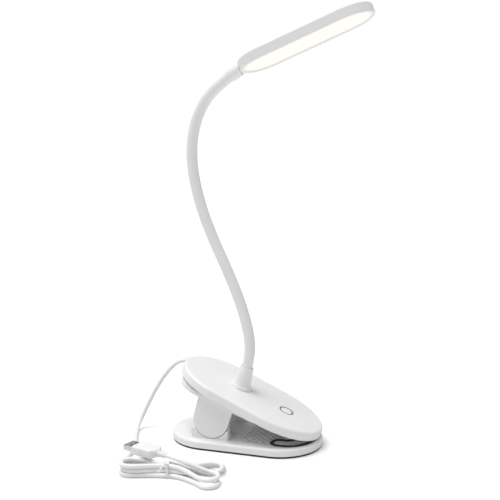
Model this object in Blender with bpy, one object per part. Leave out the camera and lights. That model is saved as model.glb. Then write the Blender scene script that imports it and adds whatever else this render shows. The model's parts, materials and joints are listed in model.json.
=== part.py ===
"""Clip-on reading lamp: a sprung clip base, a tilted arm with battery and touch control, a gooseneck
and a slim LED head, with a fixed USB lead folded into a hank. Metres, +Z up.

The origin is the middle of the face the lamp stands on. +X runs from the squeeze end of the clip to
its jaw tip, and the neck and head lie in the plane y = 0.
"""

import math

import bmesh
import bpy
import numpy as np
from mathutils import Matrix, Vector

MM = 0.001
GAP = 0.3 * MM  # clearance between pieces that touch

# Lower jaw: the plate that the lamp stands on
FOOT_THICK = 1.5 * MM
BASE_BOTTOM = FOOT_THICK + GAP
BASE_TOP = 7.8 * MM
BASE_STRAIGHT = 30 * MM  # half of the straight stretch of the outline
BASE_END = 37.5 * MM
BASE_HALF_WIDTH = 38.5 * MM
BASE_WALL = 2.2 * MM
BASE_COVER = 1.4 * MM

# Clip axis and the bracket and cheeks around it
AXIS_X, AXIS_Z = -23 * MM, 24.6 * MM
AXLE_RADIUS = 2.0 * MM
CHEEK_RADIUS = 15.8 * MM
CHEEK_OUTER_Y, CHEEK_INNER_Y = 30 * MM, 26.7 * MM
EAR_OUTER_Y, EAR_INNER_Y = 26.3 * MM, 22.6 * MM
EAR_RADIUS = 14.6 * MM
CRADLE_X = (-40.5 * MM, -7.6 * MM)
CRADLE_TOP = 16.5 * MM

# Arm: the tilted upper jaw. Its own frame has the top face at z = 0
TILT = math.radians(23.5)
ARM_HEIGHT = 45.6 * MM  # top face above the origin
ARM_CENTRE = 3.4 * MM
ARM_STRAIGHT = 22.6 * MM
ARM_REAR_END, ARM_FRONT_END = 41.2 * MM, 48.5 * MM
ARM_HALF_WIDTH = 38.0 * MM
ARM_THICK = 8.0 * MM
ARM_WALL = 2.0 * MM
ARM_EDGE = 2.4 * MM
SPINE_X = (-54.5 * MM, 28 * MM)
SPINE_HALF_WIDTH = 32.5 * MM
SPINE_LEDGE = 2.5 * MM  # its lower layer stands out this far
SPINE_DEPTHS = (7.0 * MM, 2.6 * MM)  # below the arm's underside, at the squeeze end and at the front
TOUCH_X = 39.5 * MM
TOUCH_RADIUS = 6.2 * MM

# Gooseneck
NECK_RADIUS = 4.7 * MM
SOCKET_FOOT = Vector((-5.2, 0, 47.9)) * MM
SOCKET_LEAN = math.radians(16.5)
SOCKET_LENGTH = 19 * MM
JOINT_HEIGHTS = (0.17, 0.38, 0.60, 0.81)  # places of the bends, as shares of the neck's length
CUP_RADIUS = NECK_RADIUS + 0.45 * MM

# Head: its own frame has the light face at z = 0 and x along its length
HEAD_CENTRE = Vector((51.5, 0, 340.9)) * MM
HEAD_SLOPE = math.radians(22.5)
HEAD_ROLL = math.radians(-4.0)
HEAD_HALF_LENGTH = 60 * MM
HEAD_HALF_WIDTH = 24 * MM
HEAD_THICK = 8.6 * MM
HEAD_SPLIT = 6.7 * MM
COLLAR_RADIUS = 5.4 * MM
COLLAR_LENGTH = 12.5 * MM

# USB lead
CORD_RADIUS = 1.85 * MM
PLUG_MOUTH = Vector((-74.8, -83.4, 15.6)) * MM
PLUG_TURN = math.radians(-17)
HANK_TIE = Vector((-33, -98, 0)) * MM
HANK_TURN = math.radians(10)
HANK_LEFT, HANK_RIGHT = -40 * MM, 44 * MM
HANK_HEIGHT = 11.6 * MM

# The neck's middle line from the socket's rim to the collar (x, z)
NECK_ROUTE = (
    (0.3, 66.2), (2.7, 82), (0.4, 101), (-7.4, 126), (-19.5, 154), (-33.4, 184),
    (-44.6, 216), (-49.8, 250), (-46.6, 275), (-34.4, 299), (-15.6, 315.3),
)
# The lead's middle line from its bushing, down to the table and along it to the hank
CORD_ROUTE = (
    (-61.95, 9.0, 64.35), (-65.8, 8.9, 63.5), (-70.6, 8.6, 60.9), (-76.2, 8.0, 55.6), (-82.0, 7.0, 48.2),
    (-87.6, 6.0, 39.4), (-92.8, 4.6, 29.6), (-97.4, 2.6, 19.4), (-101.0, -1.4, 10.0), (-101.6, -8.4, 4.0),
    (-98.8, -17.0, 2.0), (-94.4, -28.0, 2.0), (-89.0, -41.0, 2.0), (-84.2, -54.0, 2.0), (-81.2, -66.0, 2.0),
    (-79.0, -78.0, 2.0), (-76.0, -88.0, 2.0), (-71.2, -94.0, 2.0),
)
# Its last stretch, from the plug's strain relief down onto the hank
TAIL_ROUTE = (
    (-35.5, -95.4, 15.6), (-31.5, -96.6, 15.5), (-26.0, -97.6, 14.7), (-19.0, -97.4, 14.0),
    (-10.0, -95.6, 13.9),
)

MATERIALS = {}


def material(name, color, roughness, metallic=0.0, glow=0.0):
    made = bpy.data.materials.new(name)
    made.use_nodes = True
    shader = made.node_tree.nodes["Principled BSDF"]
    shader.inputs["Base Color"].default_value = (*color, 1)
    shader.inputs["Roughness"].default_value = roughness
    shader.inputs["Metallic"].default_value = metallic
    if glow:
        shader.inputs["Emission Color"].default_value = (*color, 1)
        shader.inputs["Emission Strength"].default_value = glow
    MATERIALS[name] = made


def make_materials():
    material("white_plastic", (0.82, 0.82, 0.81), 0.35)
    material("inner_plastic", (0.70, 0.70, 0.69), 0.5)
    material("grey_ring", (0.13, 0.13, 0.14), 0.45)
    material("dark_rubber", (0.05, 0.05, 0.055), 0.8)
    material("white_rubber", (0.72, 0.73, 0.75), 0.55)
    material("steel", (0.62, 0.62, 0.63), 0.3, 1.0)
    material("board_green", (0.03, 0.22, 0.10), 0.5)
    material("copper", (0.75, 0.42, 0.28), 0.35, 1.0)
    material("cell_foil", (0.55, 0.57, 0.60), 0.4, 0.8)
    material("clear_plastic", (0.90, 0.92, 0.92), 0.1)
    material("warm_light", (1.0, 0.93, 0.82), 0.4, 0.0, 2.0)


# Mesh tools


def finish(name, bm, slot, smooth=40):
    """The closed mesh in bm as an object with outward faces."""
    bmesh.ops.remove_doubles(bm, verts=bm.verts, dist=1e-7)
    bmesh.ops.recalc_face_normals(bm, faces=bm.faces)
    if bm.calc_volume(signed=True) < 0:
        bmesh.ops.reverse_faces(bm, faces=bm.faces)
    mesh = bpy.data.meshes.new(name)
    bm.to_mesh(mesh)
    bm.free()
    mesh.shade_smooth()
    mesh.set_sharp_from_angle(angle=math.radians(smooth))
    mesh.materials.append(MATERIALS[slot])
    made = bpy.data.objects.new(name, mesh)
    bpy.context.scene.collection.objects.link(made)
    return made


def loft(name, rings, slot, closed=False):
    """A solid through rings of equal count. An open stack is capped at both ends."""
    bm = bmesh.new()
    loops = [[bm.verts.new(point) for point in ring] for ring in rings]
    count = len(loops[0])
    pairs = list(zip(loops, loops[1:]))
    if closed:
        pairs.append((loops[-1], loops[0]))
    for low, high in pairs:
        for i in range(count):
            j = (i + 1) % count
            bm.faces.new((low[i], low[j], high[j], high[i]))
    if not closed:
        bm.faces.new(loops[0])
        bm.faces.new(loops[-1])
    return finish(name, bm, slot)


def circle(radius, z, steps=24, centre=(0, 0)):
    turn = [2 * math.pi * i / steps for i in range(steps)]
    return [(centre[0] + radius * math.cos(a), centre[1] + radius * math.sin(a), z) for a in turn]


def turned(name, profile, slot, steps=24, closed=False):
    """A turned piece about Z from (radius, z) pairs."""
    return loft(name, [circle(r, z, steps) for r, z in profile], slot, closed)


def stadium(straight, rear, front, half_width, steps=44, centre=0.0):
    """Closed outline: two straight sides joined by half ellipses, as an array of (x, y)."""
    points = []
    for i in range(steps):
        angle = 2 * math.pi * (i + 0.5) / steps
        c, s = math.cos(angle), math.sin(angle)
        reach = front if c > 0 else rear
        points.append((centre + math.copysign(straight, c) + reach * c, half_width * s))
    return np.array(points)


def inset(points, distance):
    """The outline moved inwards along its normals."""
    ahead, behind = np.roll(points, -1, axis=0), np.roll(points, 1, axis=0)
    along = ahead - behind
    along /= np.linalg.norm(along, axis=1)[:, None]
    normal = np.stack([-along[:, 1], along[:, 0]], axis=1)
    return points + normal * distance


def rounded_rect(x_low, x_high, half_width, rear, front, steps=5):
    """Closed outline of a rectangle with its own corner radius at each end."""
    corners = ((x_high - front, half_width - front, front, 0), (x_low + rear, half_width - rear, rear, 90),
               (x_low + rear, rear - half_width, rear, 180), (x_high - front, front - half_width, front, 270))
    points = []
    for x, y, radius, start in corners:
        for k in range(steps + 1):
            angle = math.radians(start + 90 * k / steps)
            points.append((x + radius * math.cos(angle), y + radius * math.sin(angle)))
    return np.array(points)


def at(points, z):
    return [(x, y, z) for x, y in points]


def rounded_edge(points, z, radius, steps=4, side=1):
    """Rings from the side face round to the end face at z, which looks up, or down with side -1."""
    rings = []
    for i in range(steps + 1):
        angle = math.pi / 2 * i / steps
        height = z - side * radius * (1 - math.sin(angle))
        rings.append(at(inset(points, radius * (1 - math.cos(angle))), height))
    return rings


def block(name, low, high, slot):
    bm = bmesh.new()
    bmesh.ops.create_cube(bm, size=1)
    size = [b - a for a, b in zip(low, high)]
    centre = [(a + b) / 2 for a, b in zip(low, high)]
    for vert in bm.verts:
        vert.co = Vector([c + v * s for c, v, s in zip(centre, vert.co, size)])
    return finish(name, bm, slot)


def prism(name, outline, y_low, y_high, slot):
    """An outline in x and z, extruded along Y."""
    bm = bmesh.new()
    near = [bm.verts.new((x, y_low, z)) for x, z in outline]
    far = [bm.verts.new((x, y_high, z)) for x, z in outline]
    bm.faces.new(near)
    bm.faces.new(far)
    for i in range(len(outline)):
        j = (i + 1) % len(outline)
        bm.faces.new((near[i], near[j], far[j], far[i]))
    return finish(name, bm, slot)


def place(made, matrix):
    made.matrix_world = matrix
    return made


def baked(made):
    """The object's placement moved into its mesh."""
    made.data.transform(made.matrix_world)
    made.matrix_world = Matrix.Identity(4)
    return made


def combine(target, other, operation):
    """Boolean of target with other, applied. The other object is used up."""
    baked(target)
    baked(other)
    modifier = target.modifiers.new(operation.title(), "BOOLEAN")
    modifier.operation = operation
    modifier.solver = "EXACT"
    modifier.object = other
    bpy.context.view_layer.update()
    evaluated = target.evaluated_get(bpy.context.evaluated_depsgraph_get())
    result = bpy.data.meshes.new_from_object(evaluated)
    target.modifiers.clear()
    old = target.data
    target.data = result
    bpy.data.meshes.remove(old)
    target.data.name = target.name
    target.data.set_sharp_from_angle(angle=math.radians(40))
    bpy.data.objects.remove(other)
    return target


def join(target, *others):
    for other in others:
        combine(target, other, "UNION")
    return target


def cut(target, *others):
    for other in others:
        combine(target, other, "DIFFERENCE")
    return target


def smooth_line(points, spacing):
    """Evenly spaced points on a natural cubic spline through the given points."""
    points = np.array(points, float)
    knots = np.concatenate([[0], np.cumsum(np.linalg.norm(np.diff(points, axis=0), axis=1))])
    gaps = np.diff(knots)
    count = len(points)
    matrix = np.eye(count)
    right = np.zeros_like(points)
    for i in range(1, count - 1):
        matrix[i, i - 1], matrix[i, i], matrix[i, i + 1] = gaps[i - 1], 2 * (gaps[i - 1] + gaps[i]), gaps[i]
        slopes = (points[i + 1] - points[i]) / gaps[i] - (points[i] - points[i - 1]) / gaps[i - 1]
        right[i] = 6 * slopes
    bends = np.linalg.solve(matrix, right)
    places = np.linspace(0, knots[-1], 400)
    at_gap = np.clip(np.searchsorted(knots, places, side="right") - 1, 0, count - 2)
    h = gaps[at_gap][:, None]
    a = (knots[at_gap + 1] - places)[:, None] / h
    b = 1 - a
    fine = a * points[at_gap] + b * points[at_gap + 1]
    fine += ((a**3 - a) * bends[at_gap] + (b**3 - b) * bends[at_gap + 1]) * h**2 / 6
    run = np.concatenate([[0], np.cumsum(np.linalg.norm(np.diff(fine, axis=0), axis=1))])
    even = np.linspace(0, run[-1], max(2, round(run[-1] / spacing) + 1))
    return np.stack([np.interp(even, run, fine[:, k]) for k in range(3)], axis=1)


# Placement frames

ARM_FRAME = Matrix.Translation((0, 0, ARM_HEIGHT)) @ Matrix.Rotation(TILT, 4, "Y")
SOCKET_FRAME = Matrix.Translation(SOCKET_FOOT) @ Matrix.Rotation(SOCKET_LEAN, 4, "Y")
HEAD_FRAME = (
    Matrix.Translation(HEAD_CENTRE)
    @ Matrix.Rotation(-HEAD_SLOPE, 4, "Y") @ Matrix.Rotation(HEAD_ROLL, 4, "X")
)
ALONG_Y = Matrix.Rotation(math.radians(90), 4, "X")  # turns a piece made about Z to lie along Y
PLUG_FRAME = Matrix.Translation(PLUG_MOUTH) @ Matrix.Rotation(PLUG_TURN, 4, "Z")
HANK_FRAME = Matrix.Translation(HANK_TIE) @ Matrix.Rotation(HANK_TURN, 4, "Z")


def on_axis(y=0.0):
    """Frame for a piece made about Z that turns on the clip's axis."""
    return Matrix.Translation((AXIS_X, y, AXIS_Z)) @ ALONG_Y


# Lower jaw


def base_outline(distance=0.0):
    return inset(stadium(BASE_STRAIGHT, BASE_END, BASE_END, BASE_HALF_WIDTH), distance)


def pad_outline(distance, bend_x, reach, spread):
    """A horseshoe open to the rear, drawn smaller by the distance all round."""
    half_band = PAD_HALF_BAND - distance
    bend = [math.radians(12 * k - 84) for k in range(15)]
    cap = [math.radians(18 * k + 90) for k in range(11)]
    tip = bend_x - PAD_LEG
    out_x, out_y, in_x, in_y = reach + half_band, spread + half_band, reach - half_band, spread - half_band
    points = [(bend_x + out_x * math.cos(a), out_y * math.sin(a)) for a in bend]
    points += [(tip + half_band * math.cos(a), spread + half_band * math.sin(a)) for a in cap]
    points += [(bend_x + in_x * math.cos(a), -in_y * math.sin(a)) for a in bend]
    points += [(tip + half_band * math.cos(a), half_band * math.sin(a) - spread) for a in cap]
    return np.array(points)


def pad_ring(name, z_low, z_high, bend_x, reach, spread):
    def outline(distance):
        return pad_outline(distance, bend_x, reach, spread)

    crown, edge = z_high - 0.5 * MM, 0.6 * MM
    rings = [at(outline(0), z_low), at(outline(0), crown), at(outline(edge), z_high)]
    rings += [at(outline(PAD_WIDTH - edge), z_high), at(outline(PAD_WIDTH), crown)]
    rings += [at(outline(PAD_WIDTH), z_low)]
    return loft(name, rings, "dark_rubber", closed=True)


# A pad's middle line is a half ellipse with short legs: the bend's x, its reach forwards and to each side
LOWER_PAD, UPPER_PAD = (39 * MM, 16 * MM, 20.5 * MM), (41 * MM, 14 * MM, 18.5 * MM)
PAD_LEG = 2.7 * MM
PAD_HALF_BAND = 8.5 * MM
PAD_WIDTH = 3.2 * MM  # of the rubber rib that runs round the band's edge
PAD_SINK = 1.2 * MM
BASE_SCREWS = ((-50, -16), (-50, 16), (52, -14), (52, 14))


def make_lower_jaw():
    outer = base_outline()
    wall = base_outline(BASE_WALL)
    ceiling = BASE_TOP - BASE_WALL
    rings = [at(wall, ceiling), at(wall, BASE_BOTTOM), at(outer, BASE_BOTTOM)]
    rings += rounded_edge(outer, BASE_TOP, 2.0 * MM)
    shell = loft("base_shell", rings, "white_plastic")
    groove_out, groove_in = pad_outline(-GAP, *LOWER_PAD), pad_outline(PAD_WIDTH + GAP, *LOWER_PAD)
    deep, clear = BASE_TOP - PAD_SINK - GAP, BASE_TOP + 3 * MM
    rings = [at(groove_out, deep), at(groove_out, clear), at(groove_in, clear), at(groove_in, deep)]
    cut(shell, loft("groove", rings, "dark_rubber", closed=True))
    seat_radius = CHEEK_RADIUS + 2 * GAP
    seat_half = (CHEEK_OUTER_Y - EAR_OUTER_Y) / 2 + 0.2 * MM
    for side in (-1, 1):
        low, high = sorted((side * CHEEK_OUTER_Y, side * EAR_INNER_Y))
        near, far = (CRADLE_X[0], low, BASE_TOP - MM), (CRADLE_X[1], high, CRADLE_TOP)
        cradle = block("cradle", near, far, "white_plastic")
        seat = turned("seat", [(seat_radius, -seat_half), (seat_radius, seat_half)], "white_plastic", 40)
        place(seat, on_axis(side * (EAR_OUTER_Y + seat_half)))
        cut(cradle, seat)
        join(shell, cradle)
        low, high = sorted((side * EAR_OUTER_Y, side * EAR_INNER_Y))
        arc = [math.radians(a) for a in range(0, 181, 15)]
        outline = [(AXIS_X + EAR_RADIUS * math.cos(a), AXIS_Z + EAR_RADIUS * math.sin(a)) for a in arc]
        outline += [(AXIS_X - EAR_RADIUS, BASE_TOP - MM), (AXIS_X + EAR_RADIUS, BASE_TOP - MM)]
        join(shell, prism("ear", outline, low, high, "white_plastic"))
    bore = AXLE_RADIUS + GAP
    cut(shell, place(turned("bore", [(bore, -35 * MM), (bore, 35 * MM)], "steel"), on_axis()))
    for index, (x, y) in enumerate(BASE_SCREWS, 1):
        centre = Matrix.Translation((x * MM, y * MM, 0))
        boss = [(2.8 * MM, BASE_BOTTOM + BASE_COVER + GAP), (2.8 * MM, ceiling + 0.5 * MM)]
        join(shell, place(turned("boss", boss, "white_plastic", 16), centre))
        hole = [(1.3 * MM, MM), (1.3 * MM, ceiling - 0.3 * MM)]
        cut(shell, place(turned("hole", hole, "steel", 12), centre))
        screw = [(2.0 * MM, BASE_BOTTOM + 0.1 * MM), (2.0 * MM, BASE_BOTTOM + 0.7 * MM),
                 (1.0 * MM, BASE_BOTTOM + MM), (1.0 * MM, ceiling - 0.7 * MM)]
        place(turned(f"base_screw_{index}", screw, "steel", 12), centre)

    cover_edge = base_outline(BASE_WALL + GAP)
    rings = [at(cover_edge, BASE_BOTTOM), at(cover_edge, BASE_BOTTOM + BASE_COVER)]
    cover = loft("base_bottom_cover", rings, "inner_plastic")
    for x, y in BASE_SCREWS:
        centre = Matrix.Translation((x * MM, y * MM, 0))
        sunk = [(2.3 * MM, FOOT_THICK - MM), (2.3 * MM, BASE_BOTTOM + 0.7 * MM),
                (1.3 * MM, BASE_BOTTOM + 1.1 * MM), (1.3 * MM, BASE_BOTTOM + 3 * MM)]
        cut(cover, place(turned("sunk", sunk, "steel", 12), centre))
    foot_edge = base_outline(0.5 * MM)
    foot = [at(base_outline(0.9 * MM), 0), at(foot_edge, 0.4 * MM), at(foot_edge, FOOT_THICK)]
    loft("rubber_foot", foot, "dark_rubber")
    pad_ring("lower_jaw_pad", BASE_TOP - PAD_SINK, BASE_TOP + 0.7 * MM, *LOWER_PAD)


def make_clip_axle():
    end = 28.6 * MM
    chamfer = 0.4 * MM
    profile = [(AXLE_RADIUS - chamfer, -end), (AXLE_RADIUS, -end + chamfer), (AXLE_RADIUS, end - chamfer),
               (AXLE_RADIUS - chamfer, end)]
    place(turned("clip_axle", profile, "steel"), on_axis())
    bore, barrel, flange = AXLE_RADIUS + GAP, 5.6 * MM, 8.0 * MM
    inner, outer = 20 * MM, 21.8 * MM
    spool = [(bore, -outer), (flange, -outer), (flange, -inner), (barrel, -inner),
             (barrel, inner), (flange, inner), (flange, outer), (bore, outer)]
    place(turned("spring_spool", spool, "inner_plastic", closed=True), on_axis())


SPRING_RADIUS, SPRING_WIRE, SPRING_TURNS, SPRING_HALF = 9.0 * MM, 0.95 * MM, 6.25, 15 * MM


def make_clip_spring():
    """A torsion spring on the axle, one leg on the base and one under the arm."""
    steps = 14
    total = int(SPRING_TURNS * steps)
    line = []
    for i in range(total + 1):
        angle = -math.radians(62) + 2 * math.pi * i / steps
        y = -SPRING_HALF + 2 * SPRING_HALF * i / total
        line.append((AXIS_X + SPRING_RADIUS * math.cos(angle), y, AXIS_Z + SPRING_RADIUS * math.sin(angle)))
    first, last = Vector(line[0]), Vector(line[-1])
    foot = Vector((first.x + 14 * MM, first.y, BASE_TOP + SPRING_WIRE + GAP))
    arm_leg = Vector((last.x + 15.5 * MM, last.y, last.z - 1.5 * MM))
    line = [foot, foot.lerp(first, 0.5)] + line + [last.lerp(arm_leg, 0.5), arm_leg]
    sweep("clip_spring", line, SPRING_WIRE, 6, "steel")


def sweep(name, line, radius, sides, slot):
    """A round bar along a line of points, with flat ends."""
    points = [Vector(p) for p in line]
    rings = []
    normal = None
    for i, point in enumerate(points):
        along = (points[min(i + 1, len(points) - 1)] - points[max(i - 1, 0)]).normalized()
        if normal is None:
            normal = along.orthogonal().normalized()
        normal = (normal - along * normal.dot(along)).normalized()
        other = along.cross(normal)
        turn = [2 * math.pi * k / sides for k in range(sides)]
        rings.append([point + (normal * math.cos(a) + other * math.sin(a)) * radius for a in turn])
    return loft(name, rings, slot)


# Arm


def arm_outline(distance=0.0):
    edge = stadium(ARM_STRAIGHT, ARM_REAR_END, ARM_FRONT_END, ARM_HALF_WIDTH, 48, ARM_CENTRE)
    return inset(edge, distance)


ARM_SCREWS = ((-50, 0), (34, -22), (34, 22))
BUSHING_Y, BUSHING_Z = 9 * MM, -4.6 * MM
BUSHING_LENGTH = 5.4 * MM  # outside the wall
BUSHING_DROOP = math.radians(30)  # the lead leaves at this angle to the arm, near level


def bushing_in_arm():
    """Frame on the arm's rear wall whose Z runs out along the lead."""
    rear = ARM_CENTRE - ARM_STRAIGHT - ARM_REAR_END * math.sqrt(1 - (BUSHING_Y / ARM_HALF_WIDTH) ** 2)
    outwards = Matrix.Rotation(-math.pi / 2 - BUSHING_DROOP, 4, "Y")
    return Matrix.Translation((rear, BUSHING_Y, BUSHING_Z)) @ outwards


def spine_depth(x):
    share = (x - SPINE_X[0]) / (SPINE_X[1] - SPINE_X[0])
    return SPINE_DEPTHS[0] + share * (SPINE_DEPTHS[1] - SPINE_DEPTHS[0])


def socket_in_arm():
    """The socket's frame seen from the arm's frame."""
    return ARM_FRAME.inverted() @ SOCKET_FRAME


def make_arm_cover():
    outer, wall = arm_outline(), arm_outline(ARM_WALL)
    low_edge = arm_outline(0.5 * MM)
    rings = [at(wall, -ARM_WALL), at(wall, -ARM_THICK), at(low_edge, -ARM_THICK)]
    rings += [at(outer, -ARM_THICK + 0.6 * MM)] + rounded_edge(outer, 0, ARM_EDGE)
    cover = loft("arm_cover", rings, "white_plastic")
    for x, y in ARM_SCREWS:
        centre = Matrix.Translation((x * MM, y * MM, 0))
        boss = [(2.9 * MM, -6.0 * MM), (2.9 * MM, -1.5 * MM)]
        join(cover, place(turned("boss", boss, "white_plastic", 16), centre))
        cut(cover, place(turned("hole", [(1.4 * MM, -7 * MM), (1.4 * MM, -2.2 * MM)], "steel", 12), centre))
    touch = Matrix.Translation((TOUCH_X, 0, 0))
    hole = [(TOUCH_RADIUS + GAP, -4 * MM), (TOUCH_RADIUS + GAP, 4 * MM)]
    cut(cover, place(turned("hole", hole, "steel", 40), touch))
    cut(cover, place(turned("hole", [(4.5 * MM, -7 * MM), (4.5 * MM, 7 * MM)], "steel"), socket_in_arm()))
    hole = [(2.6 * MM, -3.2 * MM), (2.6 * MM, 5 * MM)]
    cut(cover, place(turned("hole", hole, "steel", 20), bushing_in_arm()))
    place(cover, ARM_FRAME)


def cheek_outline():
    """The cheek's outline in the arm's frame: a round end about the clip's axis with two flanks."""
    centre = ARM_FRAME.inverted() @ Vector((AXIS_X, 0, AXIS_Z))
    top = -ARM_THICK - 2.5 * MM
    rear, front = -31.4 * MM, 1.5 * MM

    def touching(x, side):
        """Angle about the axis where the flank from the corner at x meets the round end."""
        heading = math.atan2(top - centre.z, x - centre.x)
        return heading + side * math.acos(CHEEK_RADIUS / math.hypot(x - centre.x, top - centre.z))

    arc = np.linspace(touching(rear, 1), touching(front, -1) + 2 * math.pi, 19)
    points = [(centre.x + CHEEK_RADIUS * math.cos(a), centre.z + CHEEK_RADIUS * math.sin(a)) for a in arc]
    return [(rear, top)] + points + [(front, top)]


CHEEK_MARK = Vector((-25.2, 0, 31.3)) * MM
CHEEK_MARK_SIZE = (2.6 * MM, 0.9 * MM)
CHEEK_MARK_DEPTH = 0.25 * MM


def cheek_mark():
    """A small level oval dimple on the cheek, in the arm's frame."""
    points = []
    for i in range(24):
        angle = 2 * math.pi * i / 24
        rim = Vector((CHEEK_MARK_SIZE[0] * math.cos(angle), 0, CHEEK_MARK_SIZE[1] * math.sin(angle)))
        point = ARM_FRAME.inverted() @ (CHEEK_MARK + rim)
        points.append((point.x, point.z))
    return points


def arm_screw_step(x):
    """Height of the seat under a screw's head: deep in the spine at the rear, shallow at the front."""
    return -11.0 * MM if x < 0 else -7.0 * MM


def make_arm_base():
    edge = arm_outline(ARM_WALL + GAP)
    plate_top = -6.3 * MM
    base = loft("arm_base", [at(edge, plate_top), at(edge, -ARM_THICK)], "white_plastic")
    outline = rounded_rect(*SPINE_X, SPINE_HALF_WIDTH, 21.5 * MM, 9 * MM)
    root = inset(outline, SPINE_LEDGE)
    ledge = -ARM_THICK - 0.4 * MM
    rings = [at(root, plate_top - 0.5 * MM), at(root, -ARM_THICK), at(root, ledge), at(outline, ledge)]
    rings += rounded_edge(outline, -ARM_THICK - MM, 0.3 * MM, 2, side=-1)
    spine = loft("spine", rings, "white_plastic")
    for vert in spine.data.vertices:
        below = -ARM_THICK - vert.co.z
        if below > 0:
            vert.co.z = -ARM_THICK - below / MM * spine_depth(vert.co.x)
    join(base, spine)
    well_floor = -9.9 * MM
    cut(base, block("well", (-46 * MM, -23 * MM, well_floor), (-10 * MM, 23 * MM, 0), "white_plastic"))
    for side in (-1, 1):
        low, high = sorted((side * CHEEK_OUTER_Y, side * CHEEK_INNER_Y))
        join(base, prism("cheek", cheek_outline(), low, high, "white_plastic"))
        pin = turned("pin_seat", [(AXLE_RADIUS + GAP, -2.3 * MM), (AXLE_RADIUS + GAP, 2.3 * MM)], "steel")
        place(pin, ARM_FRAME.inverted() @ on_axis(side * (CHEEK_INNER_Y - 0.1 * MM)))
        cut(base, pin)
        low, high = side * CHEEK_OUTER_Y - CHEEK_MARK_DEPTH, side * CHEEK_OUTER_Y + CHEEK_MARK_DEPTH
        cut(base, prism("mark", cheek_mark(), low, high, "white_plastic"))
    for x, y in ARM_SCREWS:
        centre = Matrix.Translation((x * MM, y * MM, 0))
        step = arm_screw_step(x)
        sunk = [(2.5 * MM, -18 * MM), (2.5 * MM, step), (1.4 * MM, step + 0.01 * MM), (1.4 * MM, -5 * MM)]
        cut(base, place(turned("sunk", sunk, "steel", 12), centre))
    place(base, ARM_FRAME)
    for index, (x, y) in enumerate(ARM_SCREWS, 1):
        centre = Matrix.Translation((x * MM, y * MM, 0))
        head = arm_screw_step(x) - 0.9 * MM
        profile = [(2.1 * MM, head), (2.1 * MM, head + 0.6 * MM),
                   (1.0 * MM, head + 0.7 * MM), (1.0 * MM, -2.6 * MM)]
        place(turned(f"arm_screw_{index}", profile, "steel", 12), ARM_FRAME @ centre)
    under = ARM_FRAME @ Matrix.Translation((0, 0, -ARM_THICK - GAP)) @ Matrix.Rotation(math.pi, 4, "X")
    place(pad_ring("upper_jaw_pad", 0, 1.6 * MM, *UPPER_PAD), under)


def make_touch_control():
    spot = ARM_FRAME @ Matrix.Translation((TOUCH_X, 0, 0))
    low, high = -1.9 * MM, -0.02 * MM
    ring_in = TOUCH_RADIUS - 0.75 * MM
    ring = [(ring_in, low), (TOUCH_RADIUS, low), (TOUCH_RADIUS, high), (ring_in, high)]
    place(turned("touch_ring", ring, "grey_ring", 40, closed=True), spot)
    disc = ring_in - 0.15 * MM
    rim = 0.25 * MM
    profile = [(disc, low), (disc, high - rim), (disc - rim, high)]
    place(turned("touch_disc", profile, "white_plastic", 40), spot)
    plate = [(5.6 * MM, low - GAP - 0.3 * MM), (5.6 * MM, low - GAP)]
    place(turned("touch_electrode", plate, "copper", 32), spot)


# Chip, driver and charging inductor on the control board, as low and high corners in mm
BOARD_PARTS = (
    ((15, -9, -5.0), (21, -3, -3.4)), ((25, 2, -5.0), (29, 10, -3.8)), ((16, 5, -5.0), (19, 8, -2.8)),
)


def make_arm_inside():
    """Battery cell, control board with its parts, and the contact spring under the touch disc."""
    cell = loft("battery_cell", [
        at(stadium(12 * MM, 4 * MM, 4 * MM, 20 * MM, 20, -28 * MM), z) for z in (-9.5 * MM, -4.6 * MM)
    ], "cell_foil")
    place(cell, ARM_FRAME)
    near, far = (12 * MM, -14 * MM, -5.8 * MM), (48 * MM, 14 * MM, -4.8 * MM)
    board = block("control_board", near, far, "board_green")
    for low, high in BOARD_PARTS:
        join(board, block("part", [v * MM for v in low], [v * MM for v in high], "board_green"))
    place(board, ARM_FRAME)
    coil = []
    for i in range(31):
        angle = 2 * math.pi * i / 10
        x, y = TOUCH_X + 2.4 * MM * math.cos(angle), 2.4 * MM * math.sin(angle)
        coil.append((x, y, (-4.2 + 1.3 * i / 30) * MM))
    place(sweep("touch_spring", coil, 0.2 * MM, 5, "copper"), ARM_FRAME)


def make_cable_bushing():
    hole = CORD_RADIUS + 0.1 * MM
    # a collar through the wall, a flange outside it, and a short taper
    profile = [(hole, -2.6 * MM), (2.3 * MM, -2.6 * MM), (2.3 * MM, 2.3 * MM), (2.9 * MM, 2.35 * MM),
               (2.9 * MM, 3.0 * MM), (2.3 * MM, BUSHING_LENGTH), (hole, BUSHING_LENGTH)]
    bushing = turned("cable_bushing", profile, "white_rubber", 20, closed=True)
    place(bushing, ARM_FRAME @ bushing_in_arm())


# Neck


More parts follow.
